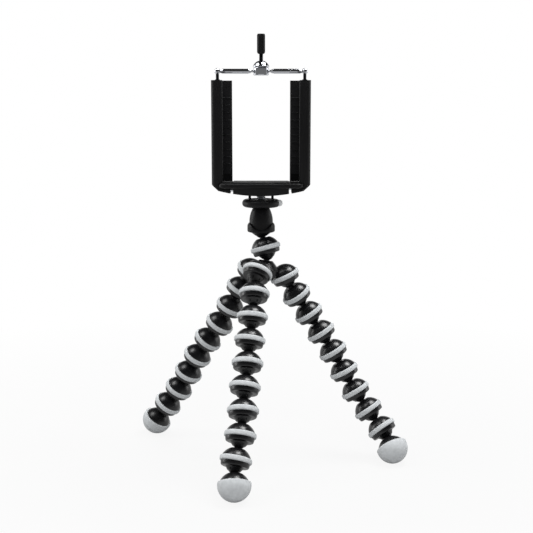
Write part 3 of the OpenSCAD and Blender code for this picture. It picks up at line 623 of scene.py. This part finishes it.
def make_feet():
    black, grey = FINISHES["black_gloss_plastic"], FINISHES["grey_rubber"]
    foot = turned("foot", foot_outline(), SHELL_STEPS, black)
    cap = turned("foot_cap", cap_outline(), RUBBER_STEPS, grey)
    for leg in LEGS:
        start = place(f"{leg}_joint_{LINKS + 1}")
        towards = Vector(FOOT_AT[leg]) * MM
        node = f"{leg}_foot"
        body = BODY_OF[node]
        leg_foot = grow(f"{node}_dome", PLACED, Piece=foot, Start=start, Towards=towards, Finish=black)
        leg_cap = grow(f"{node}_rubber", PLACED, Piece=cap, Start=start, Towards=towards, Finish=grey)
        put_on(leg_foot, body, "black_gloss_plastic", node)
        put_on(leg_cap, body, "grey_rubber", f"{node}_cap")
    bpy.data.objects.remove(foot)
    bpy.data.objects.remove(cap)


# Screws

def make_screw(node, axis, outline, top, crest, depth, pitch, thread):
    """A turned core with a thread wound on it between two levels above the head's ball."""
    slot = SLOT_OF[node]
    start = Vector((axis.x, axis.y, place("head_tilt").z + top * MM))
    core = turned(f"{node}_blank", outline, SCREW_STEPS, FINISHES[slot])
    screw = grow(f"{node}_core", PLACED, Piece=core, Start=start,
                 Towards=start - Vector((0, 0, MM)), Finish=FINISHES[slot])
    bpy.data.objects.remove(core)
    foot = Vector((axis.x, axis.y, place("head_tilt").z + thread[0] * MM))
    ridge = grow(f"{node}_thread", THREAD, Crest=crest * MM, Depth=depth * MM, Pitch=pitch * MM,
                 Length=(thread[1] - thread[0]) * MM, Foot=foot, Finish=FINISHES[slot])
    smoothed(ridge, CREASE_THREAD)
    put_on(screw, BODY_OF[node], slot, node)
    put_on(ridge, BODY_OF[node], slot)


def make_screws():
    depth = RIDGE_DEPTH * SCREW_PITCH
    make_screw("camera_screw", place("head_tilt"), camera_screw_outline(depth), SCREW_TOP, SCREW_D / 2,
               depth, SCREW_PITCH,
               (SCREW_FOOT + SCREW_HEAD_T + SCREW_RUN_OUT, SCREW_TOP - SCREW_RUN_OUT))
    depth = RIDGE_DEPTH * STEM_PITCH
    make_screw("screw_stem", place("thumb_screw_turn"), stem_outline(depth), STEM_TOP, STEM_D / 2,
               depth, STEM_PITCH, (STEM_FOOT + STEM_RUN_OUT, STEM_TOP - STEM_RUN_OUT))


# CAD nodes: soft moulded edges where they show, and a finish for each

def soften(node, width):
    """Shows a node by a copy of it whose sharp edges are rounded over."""
    shape = bmesh.new()
    shape.from_mesh(frame["nodes"][node].data)
    bmesh.ops.remove_doubles(shape, verts=shape.verts, dist=MERGE)
    bmesh.ops.dissolve_limit(shape, angle_limit=math.radians(0.5), verts=shape.verts, edges=shape.edges)
    piece = new_object(f"{node}_soft", bpy.data.meshes.new(f"{node}_soft"))
    shape.to_mesh(piece.data)
    shape.free()
    edges = piece.modifiers.new("soft_edges", "BEVEL")
    edges.width = width * MM
    edges.segments = 2
    edges.limit_method = "ANGLE"
    edges.angle_limit = math.radians(CREASE_MOULDED)
    plain_mesh(piece)
    smoothed(piece, CREASE_MOULDED)
    piece.data.materials.clear()
    piece.data.materials.append(FINISHES[SLOT_OF[node]])
    put_on(piece, BODY_OF[node], SLOT_OF[node], node)


def dress_nodes():
    """Gives every CAD node the finish of its record slot."""
    for name, slot in SLOT_OF.items():
        node = frame["nodes"][name]
        node.data.materials.clear()
        node.data.materials.append(FINISHES[slot])


# Stage, light and camera

def make_floor():
    """A white paper sweep that keeps a soft shadow: white to the eye, and in reflections too
    as far as the darker room in front of it."""
    mesh = bpy.data.meshes.new("floor")
    corners = [(x * FLOOR_HALF, y * FLOOR_HALF, 0) for x, y in ((-1, -1), (1, -1), (1, 1), (-1, 1))]
    mesh.from_pydata(corners, [], [(0, 1, 2, 3)])
    floor = new_object("floor", mesh)
    finish, tree = surface("white_paper_sweep")
    paper = add(tree, "ShaderNodeBsdfDiffuse", {"Color": colour("#a8a8a8")})
    at = add(tree, "ShaderNodeTexCoord").outputs["Object"]
    away = add(tree, "ShaderNodeVectorMath", {0: at}, operation="LENGTH")
    depth = add(tree, "ShaderNodeSeparateXYZ", {"Vector": at}).outputs["Y"]
    viewed = add(tree, "ShaderNodeMapRange", {
        "Value": away.outputs["Value"], "From Min": 0.12, "From Max": 0.5, "To Min": 0.9, "To Max": 1.0})
    reflected = add(tree, "ShaderNodeMapRange", {
        "Value": depth, "From Min": -1.1, "From Max": -0.35, "To Min": 0.12, "To Max": 0.7})
    ray = add(tree, "ShaderNodeLightPath").outputs
    mirrored = add(tree, "ShaderNodeMath", {
        0: ray["Is Glossy Ray"], 1: ray["Is Transmission Ray"]}, operation="MAXIMUM")
    mirror = add(tree, "ShaderNodeMath", {0: mirrored.outputs["Value"], 1: 0.88}, operation="MULTIPLY")
    strength = add(tree, "ShaderNodeMix", {
        "Factor": ray["Is Camera Ray"], "A": reflected.outputs["Result"], "B": 1.0})
    glow = add(tree, "ShaderNodeEmission", {
        "Color": (1, 1, 1, 1), "Strength": strength.outputs["Result"]})
    seen = add(tree, "ShaderNodeMix", {
        "Factor": ray["Is Camera Ray"], "A": mirror.outputs["Value"], "B": viewed.outputs["Result"]})
    mixed = add(tree, "ShaderNodeMixShader", {
        "Fac": seen.outputs["Result"], 1: paper.outputs["BSDF"], 2: glow.outputs["Emission"]})
    mesh.materials.append(shown(finish, tree, mixed))


def make_world():
    """White to the eye; in reflections a white sweep behind, a dark ceiling and a dim room in front."""
    world = bpy.data.worlds.new("studio")
    world.use_nodes = True
    tree = world.node_tree
    tree.nodes.clear()
    ray = add(tree, "ShaderNodeLightPath").outputs
    way = add(tree, "ShaderNodeTexCoord").outputs["Generated"]
    side = add(tree, "ShaderNodeSeparateXYZ", {"Vector": way}).outputs
    behind = add(tree, "ShaderNodeMapRange", {
        "Value": side["Y"], "From Min": -0.2, "From Max": 0.4, "To Min": 0.2, "To Max": 1.0})
    below = add(tree, "ShaderNodeMapRange", {
        "Value": side["Z"], "From Min": 0.1, "From Max": 0.5, "To Min": 1.0, "To Max": 0.04})
    reflected = add(tree, "ShaderNodeMath", {
        0: behind.outputs["Result"], 1: below.outputs["Result"]}, operation="MULTIPLY")
    mirrored = add(tree, "ShaderNodeMath", {
        0: ray["Is Glossy Ray"], 1: ray["Is Transmission Ray"]}, operation="MAXIMUM")
    lit = add(tree, "ShaderNodeMix", {
        "Factor": mirrored.outputs["Value"], "A": 0.45, "B": reflected.outputs["Value"]})
    strength = add(tree, "ShaderNodeMix", {
        "Factor": ray["Is Camera Ray"], "A": lit.outputs["Result"], "B": 1.0})
    sky = add(tree, "ShaderNodeBackground", {"Color": (1, 1, 1, 1), "Strength": strength.outputs["Result"]})
    add(tree, "ShaderNodeOutputWorld", {"Surface": sky.outputs["Background"]})
    bpy.context.scene.world = world


def softbox(name, at, size, power, mirrored):
    """A lamp aimed at the object, which shows in gloss and chrome where it is mirrored."""
    lamp = bpy.data.lights.new(name, "AREA")
    lamp.shape = "RECTANGLE"
    lamp.size, lamp.size_y = size
    lamp.energy = power
    box = new_object(name, lamp)
    box.location = at
    box.rotation_euler = (AIM - Vector(at)).to_track_quat("-Z", "Y").to_euler()
    box.visible_glossy = mirrored


def make_camera():
    lens = bpy.data.cameras.new("camera")
    lens.sensor_width = SENSOR_MM
    lens.lens = SENSOR_MM * FOCAL_PIXELS / FRAME_PIXELS
    camera = new_object("camera", lens)
    back = Vector((0, -math.cos(VIEW_ELEVATION), math.sin(VIEW_ELEVATION)))
    camera.location = AIM + back * VIEW_DISTANCE
    camera.rotation_euler = (-back).to_track_quat("-Z", "Y").to_euler()
    bpy.context.scene.camera = camera


dress_nodes()
make_links()
make_feet()
make_screws()
for softened_node, edge_width in SOFT_EDGES.items():
    soften(softened_node, edge_width)
make_floor()
make_world()
for lamp_row in SOFTBOXES:
    softbox(*lamp_row)
make_camera()
bpy.context.scene.view_settings.view_transform = "Standard"
